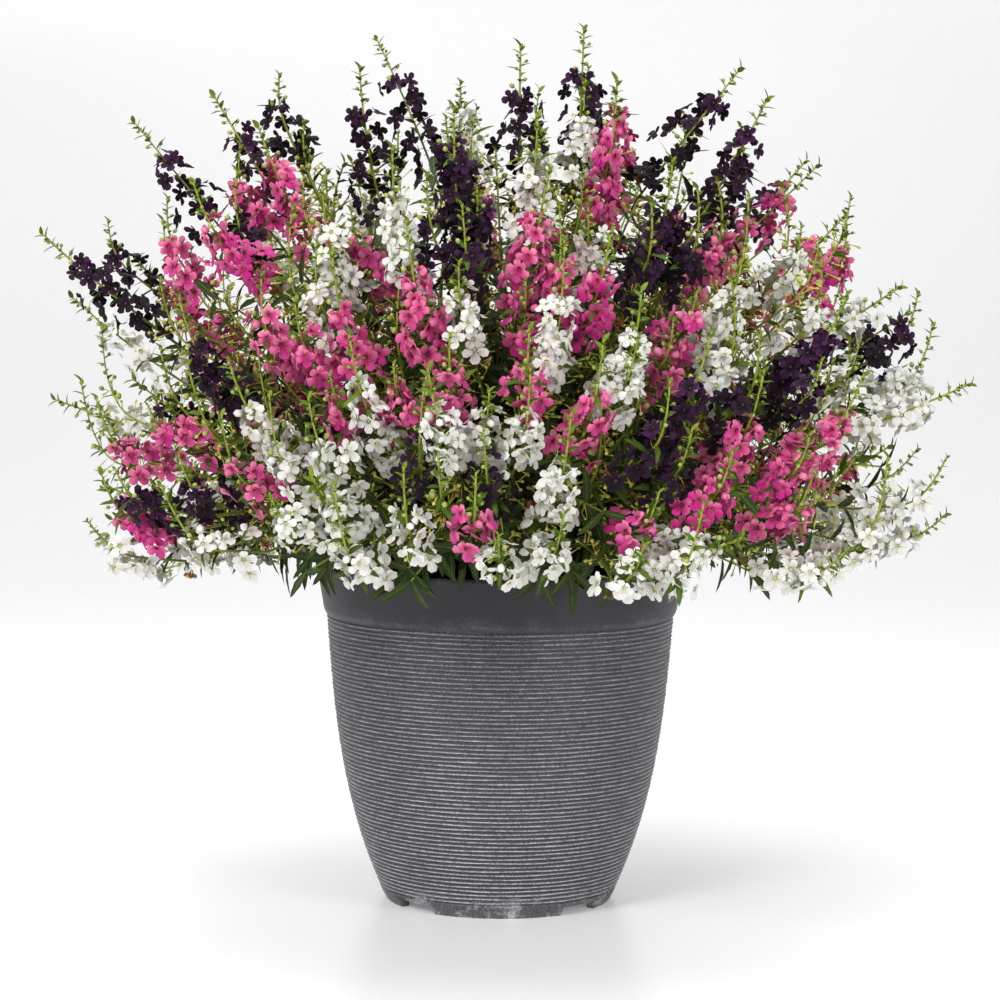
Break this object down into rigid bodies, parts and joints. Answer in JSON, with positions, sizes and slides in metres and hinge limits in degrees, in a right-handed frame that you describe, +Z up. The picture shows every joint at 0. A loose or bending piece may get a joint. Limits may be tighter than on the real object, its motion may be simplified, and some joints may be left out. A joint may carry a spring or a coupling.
{
  "type": "potted angelonia",
  "caption": "Flowering bedding plant in a ridged round planter: a broad dome of upright angelonia flower spikes in white, pink and dark purple over leafy green stems.",
  "frame": {"origin": "on the floor under the middle of the plant and its pot", "axes": "+Z up; +X to the right of the plant's front view, which looks along +Y"},
  "size_m": [0.7815, 0.7261, 0.7367],
  "materials": {
    "pot": "matte, ridged",
    "soil": "rough, damp potting mix",
    "green": "satin leaf",
    "white_petals": "soft petal",
    "pink_petals": "soft petal",
    "purple_petals": "velvety petal"
  },
  "bodies": {
    "root": {"pink_plant": "green", "pink_spray_01": "pink_petals", "pink_spray_02": "pink_petals", "pink_spray_03": "pink_petals", "pink_spray_04": "pink_petals", "pink_spray_05": "pink_petals", "pink_spray_06": "pink_petals", "pink_spray_07": "pink_petals", "pink_spray_08": "pink_petals", "pink_spray_09": "pink_petals", "pink_spray_10": "pink_petals", "pink_spray_11": "pink_petals", "pink_spray_12": "pink_petals", "pink_spray_13": "pink_petals", "pink_spray_14": "pink_petals", "pink_spray_15": "pink_petals", "pink_spray_16": "pink_petals", "pink_spray_17": "pink_petals", "pot": "pot", "potting_soil": "soil", "purple_plant": "green", "purple_spray_01": "purple_petals", "purple_spray_02": "purple_petals", "purple_spray_03": "purple_petals", "purple_spray_04": "purple_petals", "purple_spray_05": "purple_petals", "purple_spray_06": "purple_petals", "purple_spray_07": "purple_petals", "purple_spray_08": "purple_petals", "purple_spray_09": "purple_petals", "purple_spray_10": "purple_petals", "purple_spray_11": "purple_petals", "purple_spray_12": "purple_petals", "purple_spray_13": "purple_petals", "purple_spray_14": "purple_petals", "purple_spray_15": "purple_petals", "purple_spray_16": "purple_petals", "purple_spray_17": "purple_petals", "white_plant": "green", "white_spray_01": "white_petals", "white_spray_02": "white_petals", "white_spray_03": "white_petals", "white_spray_04": "white_petals", "white_spray_05": "white_petals", "white_spray_06": "white_petals", "white_spray_07": "white_petals", "white_spray_08": "white_petals", "white_spray_09": "white_petals", "white_spray_10": "white_petals", "white_spray_11": "white_petals", "white_spray_12": "white_petals", "white_spray_13": "white_petals", "white_spray_14": "white_petals", "white_spray_15": "white_petals", "white_spray_16": "white_petals", "white_spray_17": "white_petals", "white_spray_18": "white_petals", "white_spray_19": "white_petals", "white_spray_20": "white_petals", "white_spray_21": "white_petals"}
  },
  "joints": []
}
